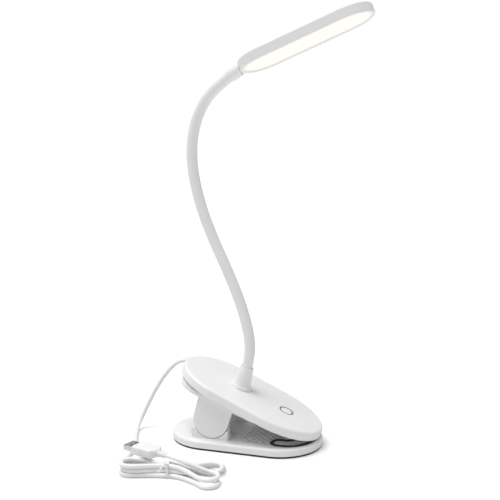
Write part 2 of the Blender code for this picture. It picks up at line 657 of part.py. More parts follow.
def make_socket():
    top = SOCKET_LENGTH
    bore = NECK_RADIUS + GAP
    seat = top - 6 * MM
    # skirt with a soft fillet, a straight taper and a rim that the neck drops into
    profile = [(4.0 * MM, -4 * MM), (10.8 * MM, -4 * MM), (9.2 * MM, 0.9 * MM), (8.2 * MM, 2.4 * MM),
               (7.6 * MM, 4.5 * MM), (6.1 * MM, top - 0.6 * MM), (5.7 * MM, top), (bore, top), (bore, seat),
               (4.0 * MM, seat)]
    socket = place(turned("neck_socket", profile, "white_plastic", 32, closed=True), SOCKET_FRAME)
    below = block("below", (-40 * MM, -40 * MM, -30 * MM), (40 * MM, 40 * MM, GAP), "steel")
    cut(socket, place(below, ARM_FRAME))
    low, high = -5.6 * MM, seat - 0.5 * MM
    tube = [(1.8 * MM, low), (3.6 * MM, low), (3.6 * MM, high), (1.8 * MM, high)]
    place(turned("neck_stud", tube, "steel", 20, closed=True), SOCKET_FRAME)
    nut = loft("neck_nut", [circle(3.9 * MM, z, 24) for z in (-4.9 * MM, -3.3 * MM)]
               + [circle(6.0 * MM, z, 24) for z in (-3.3 * MM, -4.9 * MM)], "steel", closed=True)
    place(nut, SOCKET_FRAME)


def neck_line():
    return smooth_line([(x * MM, 0, z * MM) for x, z in NECK_ROUTE], 1.5 * MM)


def neck_tangent(line, index):
    a, b = line[max(index - 1, 0)], line[min(index + 1, len(line) - 1)]
    return Vector(b - a).normalized()


def ring_at(point, along, radius, sides=16):
    side = Vector((0, 1, 0))
    other = along.cross(side)
    turn = [2 * math.pi * k / sides for k in range(sides)]
    return [Vector(point) + (side * math.cos(a) + other * math.sin(a)) * radius for a in turn]


def make_neck():
    """Five rods along the neck's line. Each ends in a ball, and the next begins in a cup around it."""
    line = neck_line()
    last = len(line) - 1
    stops = [0] + [round(share * last) for share in JOINT_HEIGHTS] + [last]
    rim = math.asin(NECK_RADIUS / CUP_RADIUS)
    for number, (start, end) in enumerate(zip(stops, stops[1:]), 1):
        rings = []
        if start:
            along = neck_tangent(line, start)
            for angle in (0.2, 0.5, 0.8, rim):
                centre = Vector(line[start]) + along * CUP_RADIUS * math.cos(angle)
                rings.append(ring_at(centre, along, CUP_RADIUS * math.sin(angle)))
        else:
            along = SOCKET_FRAME.to_3x3() @ Vector((0, 0, 1))
            rings.append(ring_at(Vector(line[0]) - along * 5.5 * MM, along, NECK_RADIUS))
            rings.append(ring_at(Vector(line[0]), along, NECK_RADIUS))
        skip = 4
        first = start + skip if start else skip
        for index in range(first, end - (skip if end != last else 1), 5):
            rings.append(ring_at(line[index], neck_tangent(line, index), NECK_RADIUS))
        along = neck_tangent(line, end)
        if end != last:
            for angle in (0, 0.45, 0.9, 1.3):
                centre = Vector(line[end]) + along * NECK_RADIUS * math.sin(angle)
                rings.append(ring_at(centre, along, NECK_RADIUS * math.cos(angle)))
        else:
            rings.append(ring_at(line[last], along, NECK_RADIUS))
        loft(f"neck_segment_{number}", rings, "white_rubber")


# Head


def head_outline(distance=0.0):
    straight = HEAD_HALF_LENGTH - HEAD_HALF_WIDTH
    return inset(stadium(straight, HEAD_HALF_WIDTH, HEAD_HALF_WIDTH, HEAD_HALF_WIDTH, 40), distance)


def make_head():
    lip = 2.4 * MM
    outer, inner, mouth = head_outline(), head_outline(1.5 * MM), head_outline(lip + 0.6 * MM)
    edge = 0.9 * MM
    rings = [at(mouth, 1.0 * MM), at(mouth, 0)]
    rings += [at(head_outline(edge), 0), at(head_outline(0.3 * edge), 0.3 * edge), at(outer, edge)]
    rings += [at(outer, HEAD_SPLIT), at(inner, HEAD_SPLIT), at(inner, 1.0 * MM)]
    place(loft("head_frame", rings, "white_plastic", closed=True), HEAD_FRAME)

    rib_out, rib_in = head_outline(1.5 * MM + GAP), head_outline(2.6 * MM)
    seam = HEAD_SPLIT + GAP
    rings = [at(rib_in, 7.2 * MM), at(rib_in, 5.9 * MM), at(rib_out, 5.9 * MM)]
    rings += [at(rib_out, seam), at(outer, seam)]
    rings += rounded_edge(outer, HEAD_THICK, 1.4 * MM, 3)
    place(loft("head_cover", rings, "white_plastic"), HEAD_FRAME)

    layer = head_outline(1.5 * MM + GAP)
    place(loft("diffuser", [at(layer, 1.3 * MM), at(layer, 2.3 * MM)], "warm_light"), HEAD_FRAME)
    guide = head_outline(4.6 * MM)
    place(loft("light_guide", [at(guide, 2.6 * MM), at(guide, 4.6 * MM)], "clear_plastic"), HEAD_FRAME)
    sheet = head_outline(2.2 * MM)
    place(loft("reflector_sheet", [at(sheet, 4.9 * MM), at(sheet, 5.3 * MM)], "white_plastic"), HEAD_FRAME)
    for side, label in ((-1, "near"), (1, "far")):
        y_low, y_high = sorted((side * 22.0 * MM, side * 21.2 * MM))
        near, far = (-34 * MM, y_low, 2.6 * MM), (34 * MM, y_high, 4.6 * MM)
        strip = block(f"led_strip_{label}", near, far, "board_green")
        chip_low, chip_high = sorted((side * 21.5 * MM, side * 19.9 * MM))
        for k in range(8):
            x = (-28 + 8 * k) * MM
            low, high = (x - 1.2 * MM, chip_low, 2.9 * MM), (x + 1.2 * MM, chip_high, 4.3 * MM)
            join(strip, block("chip", low, high, "board_green"))
        place(strip, HEAD_FRAME)


def make_collar():
    """The sleeve that joins the neck's end to the head, and the ferrule inside it."""
    line = neck_line()
    start = Vector(line[-1])
    goal = HEAD_FRAME @ Vector((-HEAD_HALF_LENGTH + 3 * MM, 0, HEAD_THICK / 2))
    along = (goal - start).normalized()
    frame = Matrix.Translation(start) @ Vector((0, 0, 1)).rotation_difference(along).to_matrix().to_4x4()
    reach = (goal - start).length
    profile = [(5.0 * MM, 0.8 * MM), (COLLAR_RADIUS, 1.3 * MM), (COLLAR_RADIUS, COLLAR_LENGTH - 4 * MM),
               (COLLAR_RADIUS - 0.4 * MM, reach + 3 * MM)]
    collar = place(turned("neck_collar", profile, "white_plastic", 28), frame)
    bore = [(3.2 * MM, -2 * MM), (3.2 * MM, 9.0 * MM)]
    cut(collar, place(turned("bore", bore, "steel", 20), frame))
    clear = loft("clear", [at(head_outline(-GAP), z) for z in (-20 * MM, 30 * MM)], "steel")
    cut(collar, place(clear, HEAD_FRAME))
    ferrule = [(2.2 * MM, 0.5 * MM), (2.9 * MM, 0.5 * MM), (2.9 * MM, 8.5 * MM), (2.2 * MM, 8.5 * MM)]
    place(turned("neck_ferrule", ferrule, "steel", 20, closed=True), frame)


# USB lead


def make_cord(name, route):
    curve = bpy.data.curves.new(name, "CURVE")
    curve.dimensions = "3D"
    curve.bevel_depth = CORD_RADIUS
    curve.bevel_resolution = 2
    curve.use_fill_caps = True
    spline = curve.splines.new("POLY")
    points = smooth_line([[v * MM for v in p] for p in route], 5.5 * MM)
    points[:, 2] = np.maximum(points[:, 2], CORD_RADIUS + 0.1 * MM)
    spline.points.add(len(points) - 1)
    for point, place_at in zip(spline.points, points):
        point.co = (*place_at, 1)
    curve.materials.append(MATERIALS["white_rubber"])
    made = bpy.data.objects.new(name, curve)
    bpy.context.scene.collection.objects.link(made)


def hank_outline():
    """Left bundle, narrow at the tie, fanned out to the right, with round ends."""
    points = []
    length = HANK_RIGHT - HANK_LEFT
    for side in (1, -1):
        shares = [0, 0.01, 0.04, 0.09, 0.2, 0.35, 0.48, 0.6, 0.75, 0.88, 0.94, 0.98, 1]
        for share in shares[::side]:
            if share in (0, 1) and side < 0:
                continue
            along = HANK_LEFT + length * share
            left = 9.5 * MM * math.sqrt(min(1, 1 - (1 - min(share / 0.1, 1)) ** 2))
            fan = max(0, share - 0.48) / 0.52
            waist = -2.6 * MM * math.exp(-((share - 0.48) / 0.1) ** 2)
            right = 16 * MM * math.sin(min(fan * 1.25, 1) * math.pi / 2)
            close = math.sqrt(max(0, 1 - max(0, (share - 0.86) / 0.14) ** 2))
            points.append((along, side * (left + waist + right) * close))
    return points


def make_hank():
    outline = hank_outline()
    low, high = 0.02 * MM, HANK_HEIGHT
    place(loft("cord_hank", [at(outline, z) for z in (low, high)], "white_rubber"), HANK_FRAME)
    half, rise = 8.4 * MM, HANK_HEIGHT + GAP
    thick, band = 0.7 * MM, 1.1 * MM
    inner = [(-half, 0.02 * MM), (half, 0.02 * MM), (half, rise), (-half, rise)]
    out, top = half + thick, rise + thick
    outer = [(-out, 0.02 * MM), (out, 0.02 * MM), (out, top), (-out, top)]
    bm = bmesh.new()
    shape = [outer[0], inner[0], inner[3], inner[2], inner[1], outer[1], outer[2], outer[3]]
    near = [bm.verts.new((-band, y, z)) for y, z in shape]
    far = [bm.verts.new((band, y, z)) for y, z in shape]
    bm.faces.new(near)
    bm.faces.new(far)
    for i in range(len(shape)):
        j = (i + 1) % len(shape)
        bm.faces.new((near[i], near[j], far[j], far[i]))
    place(finish("hank_tie", bm, "white_rubber"), HANK_FRAME)


def rounded_box_ring(x, half_width, half_height, corner, steps=3):
    """A ring in the plane of constant x with rounded corners."""
    ring = []
    for quarter in range(4):
        sy = (1, -1, -1, 1)[quarter]
        sz = (1, 1, -1, -1)[quarter]
        for k in range(steps + 1):
            angle = math.pi / 2 * (quarter + k / steps)
            ring.append((x, sy * (half_width - corner) + corner * math.cos(angle),
                         sz * (half_height - corner) + corner * math.sin(angle)))
    return ring


def make_plug():
    """USB-A plug: folded steel shell, its insulating tongue, and the moulded grip with a strain relief."""
    shell_y, shell_z, wall = 6.0 * MM, 2.25 * MM, 0.35 * MM
    front, back = 0, 14 * MM
    rings = [rounded_box_ring(front, shell_y, shell_z, 0.5 * MM),
             rounded_box_ring(back, shell_y, shell_z, 0.5 * MM),
             rounded_box_ring(back, shell_y - wall, shell_z - wall, 0.3 * MM),
             rounded_box_ring(front, shell_y - wall, shell_z - wall, 0.3 * MM)]
    place(loft("usb_shell", rings, "steel", closed=True), PLUG_FRAME)
    near, far = (0.6 * MM, -5.3 * MM, -1.5 * MM), (13.6 * MM, 5.3 * MM, 0.3 * MM)
    tongue = block("usb_tongue", near, far, "inner_plastic")
    place(tongue, PLUG_FRAME)
    start = 10 * MM
    half_y, half_z = 7.8 * MM, 3.9 * MM
    rings = [rounded_box_ring(14.3 * MM, shell_y + GAP, shell_z + GAP, 0.5 * MM),
             rounded_box_ring(start, shell_y + GAP, shell_z + GAP, 0.5 * MM),
             rounded_box_ring(start, half_y - 0.5 * MM, half_z - 0.5 * MM, 1.6 * MM),
             rounded_box_ring(start + 0.5 * MM, half_y, half_z, 1.8 * MM),
             rounded_box_ring(start + 15 * MM, half_y, half_z, 1.8 * MM),
             rounded_box_ring(start + 21 * MM, 5.6 * MM, 3.4 * MM, 1.8 * MM),
             rounded_box_ring(start + 22.5 * MM, 3.0 * MM, 2.9 * MM, 1.8 * MM),
             rounded_box_ring(start + 30.5 * MM, 2.4 * MM, 2.4 * MM, 1.8 * MM)]
    place(loft("usb_grip", rings, "white_rubber"), PLUG_FRAME)


# Joints


# What turns on each pivot. Each pivot also carries the next one
PIVOT_PIECES = {
    "clip_pivot": (
        "arm_cover", "arm_base", "arm_screw_1", "arm_screw_2", "arm_screw_3", "upper_jaw_pad", "touch_ring",
        "touch_disc", "touch_electrode", "touch_spring", "battery_cell", "control_board", "cable_bushing",
        "neck_socket", "neck_stud", "neck_nut", "neck_segment_1",
    ),
    "neck_pivot_1": ("neck_segment_2",),
    "neck_pivot_2": ("neck_segment_3",),
    "neck_pivot_3": ("neck_segment_4",),
    "neck_pivot_4": (
        "neck_segment_5", "neck_collar", "neck_ferrule", "head_frame", "head_cover", "diffuser", "light_guide",
        "reflector_sheet", "led_strip_near", "led_strip_far",
    ),
}


def make_pivots():
    """An empty on each joint's axis, as the parent of the pieces that turn there."""
    line = neck_line()
    points = [Vector((AXIS_X, 0, AXIS_Z))]
    points += [Vector(line[round(share * (len(line) - 1))]) for share in JOINT_HEIGHTS]
    carrier, carrier_point = None, Vector()
    for point, (name, pieces) in zip(points, PIVOT_PIECES.items()):
        pivot = bpy.data.objects.new(name, None)
        bpy.context.scene.collection.objects.link(pivot)
        pivot.empty_display_size = 10 * MM
        pivot.location = point - carrier_point
        pivot.parent = carrier
        for piece in pieces:
            made = bpy.data.objects[piece]
            made.parent = pivot
            made.matrix_parent_inverse = Matrix.Translation(-point)
        carrier, carrier_point = pivot, point


def main():
    for made in list(bpy.data.objects):
        bpy.data.objects.remove(made)
    make_materials()
    make_lower_jaw()
    make_clip_axle()
    make_clip_spring()
    make_arm_cover()
    make_arm_base()
    make_touch_control()
    make_arm_inside()
    make_cable_bushing()
    make_socket()
    make_neck()
    make_head()
    make_collar()
    make_cord("cord_tube", CORD_ROUTE)
    make_cord("cord_tail", TAIL_ROUTE)
    make_hank()
    make_plug()
    make_pivots()


main()
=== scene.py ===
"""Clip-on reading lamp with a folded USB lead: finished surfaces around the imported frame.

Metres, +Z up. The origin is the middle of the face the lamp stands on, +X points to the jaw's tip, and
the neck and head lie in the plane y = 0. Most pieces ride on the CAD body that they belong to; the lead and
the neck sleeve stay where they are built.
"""
import json
import math

import bmesh
import bpy
import numpy as np
from mathutils import Matrix, Vector

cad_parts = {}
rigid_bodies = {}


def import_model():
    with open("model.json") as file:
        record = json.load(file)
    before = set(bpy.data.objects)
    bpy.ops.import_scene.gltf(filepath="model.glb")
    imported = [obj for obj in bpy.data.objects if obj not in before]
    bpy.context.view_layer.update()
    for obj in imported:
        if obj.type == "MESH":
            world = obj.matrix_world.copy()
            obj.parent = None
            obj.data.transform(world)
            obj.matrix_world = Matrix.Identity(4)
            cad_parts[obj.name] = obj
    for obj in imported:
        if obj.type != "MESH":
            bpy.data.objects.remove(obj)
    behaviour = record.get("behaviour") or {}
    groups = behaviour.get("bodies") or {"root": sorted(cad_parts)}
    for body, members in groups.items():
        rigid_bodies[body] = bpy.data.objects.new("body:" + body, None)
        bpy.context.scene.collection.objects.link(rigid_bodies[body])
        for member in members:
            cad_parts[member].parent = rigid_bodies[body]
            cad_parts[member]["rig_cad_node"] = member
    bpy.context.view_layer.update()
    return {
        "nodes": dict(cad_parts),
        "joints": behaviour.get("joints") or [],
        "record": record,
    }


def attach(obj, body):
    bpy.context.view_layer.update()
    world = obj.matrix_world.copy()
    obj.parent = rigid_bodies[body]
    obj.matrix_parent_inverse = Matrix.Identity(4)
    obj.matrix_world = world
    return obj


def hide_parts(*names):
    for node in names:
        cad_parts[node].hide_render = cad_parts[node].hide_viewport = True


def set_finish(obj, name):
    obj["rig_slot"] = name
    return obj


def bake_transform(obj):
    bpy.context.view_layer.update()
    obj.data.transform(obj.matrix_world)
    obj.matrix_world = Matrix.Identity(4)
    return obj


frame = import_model()
NODES = frame["nodes"]
MM = 0.001
WELD = 1e-7  # metres: vertices nearer than this are one
SPLINE_SAMPLES = 6000

# Camera, at the photograph's viewing angle

VIEW_AZIMUTH, VIEW_ELEVATION = 18, 8  # degrees
LENS_LENGTH, SENSOR_WIDTH = 63.53, 36  # millimetres

camera = bpy.data.objects.new("camera", bpy.data.cameras.new("camera"))
bpy.context.scene.collection.objects.link(camera)
camera.location = (0.23436, -0.71245, 0.27442)
camera.rotation_euler = (math.radians(90 - VIEW_ELEVATION), 0, math.radians(VIEW_AZIMUTH))
camera.data.sensor_width = SENSOR_WIDTH
camera.data.lens = LENS_LENGTH
camera.data.clip_start = 0.01
camera.data.clip_end = 50
bpy.context.scene.camera = camera

# Mesh tools


def made_object(name, bm, slot, smooth=35):
    """The mesh in bm as an object with outward faces and sharp edges above the angle."""
    bmesh.ops.remove_doubles(bm, verts=bm.verts, dist=WELD)
    bmesh.ops.recalc_face_normals(bm, faces=bm.faces)
    mesh = bpy.data.meshes.new(name)
    bm.to_mesh(mesh)
    bm.free()
    mesh.shade_smooth()
    mesh.set_sharp_from_angle(angle=math.radians(smooth))
    made = bpy.data.objects.new(name, mesh)
    bpy.context.scene.collection.objects.link(made)
    if slot:
        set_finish(made, slot)
    return made


def loft(name, rings, slot=None, closed=False, smooth=35):
    """A solid through rings of equal count. An open stack is capped at both ends."""
    bm = bmesh.new()
    loops = [[bm.verts.new(point) for point in ring] for ring in rings]
    count = len(loops[0])
    pairs = list(zip(loops, loops[1:]))
    if closed:
        pairs.append((loops[-1], loops[0]))
    for low, high in pairs:
        for i in range(count):
            j = (i + 1) % count
            bm.faces.new((low[i], low[j], high[j], high[i]))
    if not closed:
        bm.faces.new(loops[0])
        bm.faces.new(loops[-1])
    return made_object(name, bm, slot, smooth)


def smooth_line(points, spacing):
    """Evenly spaced points on a natural cubic spline through the given points."""
    points = np.array(points, float)
    knots = np.concatenate([[0], np.cumsum(np.linalg.norm(np.diff(points, axis=0), axis=1))])
    gaps = np.diff(knots)
    count = len(points)
    matrix = np.eye(count)
    right = np.zeros_like(points)
    for i in range(1, count - 1):
        matrix[i, i - 1], matrix[i, i], matrix[i, i + 1] = gaps[i - 1], 2 * (gaps[i - 1] + gaps[i]), gaps[i]
        change = (points[i + 1] - points[i]) / gaps[i] - (points[i] - points[i - 1]) / gaps[i - 1]
        right[i] = 6 * change
    bends = np.linalg.solve(matrix, right)
    places = np.linspace(0, knots[-1], SPLINE_SAMPLES)
    at_gap = np.clip(np.searchsorted(knots, places, side="right") - 1, 0, count - 2)
    h = gaps[at_gap][:, None]
    a = (knots[at_gap + 1] - places)[:, None] / h
    b = 1 - a
    fine = a * points[at_gap] + b * points[at_gap + 1]
    fine += ((a**3 - a) * bends[at_gap] + (b**3 - b) * bends[at_gap + 1]) * h**2 / 6
    run = np.concatenate([[0], np.cumsum(np.linalg.norm(np.diff(fine, axis=0), axis=1))])
    even = np.linspace(0, run[-1], max(2, round(run[-1] / spacing) + 1))
    return np.stack([np.interp(even, run, fine[:, k]) for k in range(3)], axis=1)


def tube(name, line, radius, sides, slot):
    """A round tube along a line of points, without twist, with flat ends."""
    points = [Vector(p) for p in line]
    last = len(points) - 1
    along = [(points[min(i + 1, last)] - points[max(i - 1, 0)]).normalized() for i in range(last + 1)]
    normal = along[0].orthogonal().normalized()
    turn = [2 * math.pi * k / sides for k in range(sides)]
    rings = []
    for point, direction in zip(points, along):
        normal = (normal - direction * normal.dot(direction)).normalized()
        other = direction.cross(normal)
        rings.append([point + (normal * math.cos(a) + other * math.sin(a)) * radius for a in turn])
    return loft(name, rings, slot, smooth=60)


def place(made, frame_at):
    """Puts a piece built about its own origin where the frame says."""
    made.data.transform(frame_at)
    return made


def stands_for(made, body, node):
    """The piece rides on the body and takes the place of the node."""
    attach(made, body)
    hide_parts(node)


def walled_grid(name, outer, inner, filled, slot, wrap=False):
    """A wall between two grids of points. Cells that aren't filled are openings with edges of their own."""
    bm = bmesh.new()
    rows, columns = filled.shape
    skins = [[[bm.verts.new(point) for point in row] for row in grid] for grid in (outer, inner)]
    across = len(skins[0][0])

    def solid(i, j):
        """Whether the cell is there and filled, counting round the grid's end where it wraps."""
        j = j % columns if wrap else j
        return 0 <= i < rows and 0 <= j < columns and filled[i, j]

    for i in range(rows):
        for j in range(columns):
            if not solid(i, j):
                continue
            k = (j + 1) % across
            for skin in skins:
                bm.faces.new((skin[i][j], skin[i + 1][j], skin[i + 1][k], skin[i][k]))
            edges = ((i - 1, j, (i, j), (i, k)), (i + 1, j, (i + 1, j), (i + 1, k)),
                     (i, j - 1, (i, j), (i + 1, j)), (i, j + 1, (i, k), (i + 1, k)))
            for row, column, first, last in edges:
                if not solid(row, column):
                    bm.faces.new([skins[0][first[0]][first[1]], skins[0][last[0]][last[1]],
                                  skins[1][last[0]][last[1]], skins[1][first[0]][first[1]]])
    loose = [vert for vert in bm.verts if not vert.link_faces]
    bmesh.ops.delete(bm, geom=loose, context="VERTS")
    return made_object(name, bm, slot)


def soft_box(x, half_y, half_z, power, steps=48):
    """A ring in the plane of constant x, from an ellipse at power 2 to nearly a box above 6."""
    ring = []
    for i in range(steps):
        angle = 2 * math.pi * (i + 0.5) / steps
        c, s = math.cos(angle), math.sin(angle)
        ring.append((x, half_y * math.copysign(abs(c) ** (2 / power), c),
                     half_z * math.copysign(abs(s) ** (2 / power), s)))
    return ring


# The lead: its points repeat the CAD route in millimetres, then fold into the hank

CORD_RADIUS = 1.85
CORD_SIDES = 14
FLOOR_LEVEL = 1.95  # middle line of a run that lies on the table
SECOND_LEVEL = 5.75
THIRD_LEVEL = 9.5
ROUNDING_PASSES, ROUNDING_SPAN = 3, 5
HANK_TIE = Vector((-33, -98, 0))
HANK_TURN = math.radians(10)

LEAD_FREE = [
    (-57.5, 9.0, 64.85), (-61.95, 9.0, 64.35), (-65.8, 8.9, 63.5), (-70.6, 8.6, 60.9), (-76.2, 8.0, 55.6),
    (-82.0, 7.0, 48.2), (-87.6, 6.0, 39.4), (-92.8, 4.6, 29.6), (-97.4, 2.6, 19.4), (-101.0, -1.4, 10.0),
    (-101.6, -8.4, 4.0), (-98.8, -17.0, FLOOR_LEVEL), (-94.4, -28.0, FLOOR_LEVEL),
    (-89.0, -41.0, FLOOR_LEVEL), (-84.2, -54.0, FLOOR_LEVEL), (-81.2, -66.0, FLOOR_LEVEL),
]


def arc(along, across, radius, first, last, low, high, count):
    """Points round a loop's end in the hank's frame, climbing from low to high."""
    points = []
    for i in range(count):
        share = i / (count - 1)
        angle = math.radians(first + (last - first) * share)
        points.append((along + radius * math.cos(angle), across + radius * math.sin(angle),
                       low + (high - low) * share))
    return points


def hank_points():
    """Eight runs through the tie, joined by four loops to the right and three to the left."""
    low, mid, top = FLOOR_LEVEL, SECOND_LEVEL, THIRD_LEVEL
    points = [(-41.9, 27, low), (-41.3, 21.2, low), (-39.2, 16.4, low), (-34.6, 13.2, low),
              (-27.5, 11.4, low), (-20, 9.3, low), (-12, 6.7, low), (-4, 4.5, low), (4, 4.3, low),
              (12, 7, low), (20, 12.6, low), (27, 18, low)]
    points += arc(33.8, 15.4, 8.2, 95, -100, low, low, 7)
    points += [(25.5, 5.6, low), (18, 2.9, low), (10, 0.8, low), (2, 0, low), (-6, 0.6, low),
               (-13, 2.4, low), (-20, 4.9, low)]
    points += arc(-31, 0, 8, 75, 285, low, low, 7)
    points += [(-20, -5.6, low), (-11, -5, low), (-3, -4.1, low), (4, -4.3, low), (12, -7, low),
               (20, -12.2, low), (27, -17.6, low)]
    points += arc(34.2, -14.8, 8.2, -95, 100, low, low, 7)
    points += [(27, -6.6, 2.2), (20, -5.2, 3.6), (12, -3.9, 5), (4, -2.4, 5.2), (-3, -2.1, 5.3),
               (-10, -2.8, 5.5), (-18, -5, 5.7)]
    points += arc(-29.6, 0.5, 8, 285, 75, mid, mid, 7)
    points += [(-18, 5.2, 5.7), (-10, 3.4, 5.5), (-3, 2.1, 5.3), (4, 2.6, 5.2), (12, 5.6, 5.3),
               (20, 10.3, 5.6), (27, 14.9, mid)]
    points += arc(33.8, 9.4, 8, 100, 10, 5.8, 5.8, 4)
    points += [(40.6, 5.2, 4.8), (37.4, 2.3, 3.5), (32, 1.3, 2.5), (26, 1.3, 3.2), (20, 1.3, 5.3),
               (12, 1.5, 7.3), (4, 2, 8.9), (-3, 2.1, 9), (-10, 3, 9.2), (-18, 5.4, 9.4)]
    points += arc(-30.6, -0.5, 8, 75, 285, top, top, 7)
    points += [(-18.5, -5.6, 9.4), (-10, -3.3, 9.2), (-3, -2.1, 9), (4, -2.4, 8.9), (12, -5.2, 8.4),
               (20, -10.2, 7), (27, -15.2, 5.9)]
    points += arc(34, -10.5, 8, -105, 75, mid, 5.85, 6)
    points += [(29.6, -2.3, 7.2), (23, -1.7, 9.4), (14, -1.9, 12.5), (7, -0.9, 14.5), (1.7, 1.1, 15.5),
               (-2, 3, 15.6), (-4.2, 4.1, 15.6)]
    return points


def lead_line():
    """The lead's middle line in metres, a point every 2 mm."""
    frame_at_tie = Matrix.Translation(HANK_TIE) @ Matrix.Rotation(HANK_TURN, 4, "Z")
    points = LEAD_FREE + [tuple(frame_at_tie @ Vector(p)) for p in hank_points()]
    line = smooth_line(points, 1.0)
    for _ in range(ROUNDING_PASSES):  # rounds off what the spline makes too tight
        padded = np.concatenate([2 * line[:1] - line[2:0:-1], line, 2 * line[-1:] - line[-2:-4:-1]])
        line = sum(padded[k:k + len(line)] for k in range(ROUNDING_SPAN)) / ROUNDING_SPAN
    lowest = CORD_RADIUS + 0.05
    line[:, 2] = np.maximum(line[:, 2], lowest)
    return line[::2] * MM


LEAD_LINE = lead_line()
lead = tube("lead", LEAD_LINE, CORD_RADIUS * MM, CORD_SIDES, "lead_jacket")
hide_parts("cord_tube", "cord_hank", "cord_tail")
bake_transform(lead)

# Neck sleeve

NECK_RADIUS = 4.7 * MM
NECK_SIDES = 36
NECK_SPACING = 1.0 * MM
SOCKET_DEPTH = 4 * MM  # the sleeve starts this far down in the socket
COLLAR_REACH = 0.95 * MM  # and runs this far past its route, to meet the collar
NECK_ROUTE = (
    (0.3, 66.2), (2.7, 82), (0.4, 101), (-7.4, 126), (-19.5, 154), (-33.4, 184),
    (-44.6, 216), (-49.8, 250), (-46.6, 275), (-34.4, 299), (-15.6, 315.3),
)
SOCKET_AXIS = Vector((math.sin(math.radians(16.5)), 0, math.cos(math.radians(16.5))))


def make_neck():
    """A continuous sleeve in four lengths, each reaching across one of the neck's joints."""
    line = smooth_line([(x * MM, 0, z * MM) for x, z in NECK_ROUTE], NECK_SPACING)
    joints = frame["joints"][1:]
    pivots = [int(np.argmin(np.linalg.norm(line - joint["pos_m"], axis=1))) for joint in joints]
    cuts = [(a + b) // 2 for a, b in zip(pivots, pivots[1:])]
    sunk = np.array(Vector(line[0]) - SOCKET_AXIS * SOCKET_DEPTH)
    stops = [0] + cuts + [len(line) - 1]
    replaced = (("neck_segment_1", "neck_segment_2"), ("neck_segment_3",), ("neck_segment_4",),
                ("neck_segment_5",))
    for number, (joint, pivot) in enumerate(zip(joints, pivots)):
        piece = line[stops[number]:stops[number + 1] + 1]
        if number == 0:
            piece = np.concatenate([[sunk], piece])
        if number == len(joints) - 1:
            ahead = piece[-1] - piece[-2]
            piece = np.concatenate([piece, [piece[-1] + COLLAR_REACH * ahead / np.linalg.norm(ahead)]])
        sleeve = tube(f"neck_sleeve_{number + 1}", piece, NECK_RADIUS, NECK_SIDES, "neck_sleeve")
        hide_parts(*replaced[number])
        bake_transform(sleeve)


make_neck()

# The plug on the lead's end, in millimetres. Its own frame has x running back from the shell's mouth

PLUG_PLACE, PLUG_TURN = Vector((-74.8, -83.4, 15.6)), math.radians(-17)
PLUG_FRAME = Matrix.Translation(PLUG_PLACE * MM) @ Matrix.Rotation(PLUG_TURN, 4, "Z")
SHELL_Y, SHELL_Z, SHELL_WALL = 6.0, 2.25, 0.35
SHELL_LENGTH = 14.0
SHELL_CORNER, SHELL_INNER_CORNER, SHELL_LIP = 0.5, 0.3, 0.1
GRIP_START = 10.0
GRIP_Y, GRIP_Z = 7.8, 3.9
GRIP_EDGE = 1.2
GRIP_SQUARENESS, ROUND = 7, 2  # powers for soft_box
GRIP_END_Y, GRIP_END_Z = 2.9, 2.7
GRIP_TAPER_FROM, GRIP_TAPER_POWER = 0.8, 1.6  # it narrows from this share of its length, ever faster
RELIEF_START, RELIEF_END, RELIEF_RIBS = 32.4, 40.4, 5
RELIEF_RADIUS, RELIEF_ROOT, RELIEF_TAPER = 2.75, 2.15, 0.1  # each rib is smaller than the last by the taper


def make_plug_shell():
    """The folded steel shell, with two square windows in its top and in its bottom."""
    window = (1.7, 3.9)
    window_rows = (5.0, 7.6)
    lip_depth = 0.25

    def section(half_y, half_z, radius):
        """A rounded box, with points at the windows' edges along its top and its bottom."""
        line = []
        straight = half_y - radius
        for sy, sz in ((1, 1), (-1, -1)):
            line += [(sy * y, sz * half_z) for y in (straight, window[1], window[0], -window[0], -window[1])]
            for k in range(5):
                angle = math.radians(90 * k / 4)
                line.append((sy * (-straight - radius * math.sin(angle)),
                             sz * (half_z - radius + radius * math.cos(angle))))
            for k in range(4):
                angle = math.radians(90 * k / 4)
                line.append((sy * (-straight - radius * math.cos(angle)),
                             sz * (-(half_z - radius) - radius * math.sin(angle))))
        return line

    rows = (0, lip_depth, *window_rows, SHELL_LENGTH)
    window_row = rows.index(window_rows[0])
    outer_line = section(SHELL_Y, SHELL_Z, SHELL_CORNER)
    inner_line = section(SHELL_Y - SHELL_WALL, SHELL_Z - SHELL_WALL, SHELL_INNER_CORNER)
    lip_line = section(SHELL_Y - SHELL_LIP, SHELL_Z - SHELL_LIP, SHELL_CORNER)
    outer = [[(x * MM, y * MM, z * MM) for y, z in (lip_line if x == 0 else outer_line)] for x in rows]
    inner = [[(x * MM, y * MM, z * MM) for y, z in inner_line] for x in rows]
    filled = np.ones((len(rows) - 1, len(outer_line)), bool)
    half = len(outer_line) // 2
    for first in (0, half):
        filled[window_row, [first + 1, first + 3]] = False
    return place(walled_grid("plug_shell", outer, inner, filled, "usb_steel", wrap=True), PLUG_FRAME)


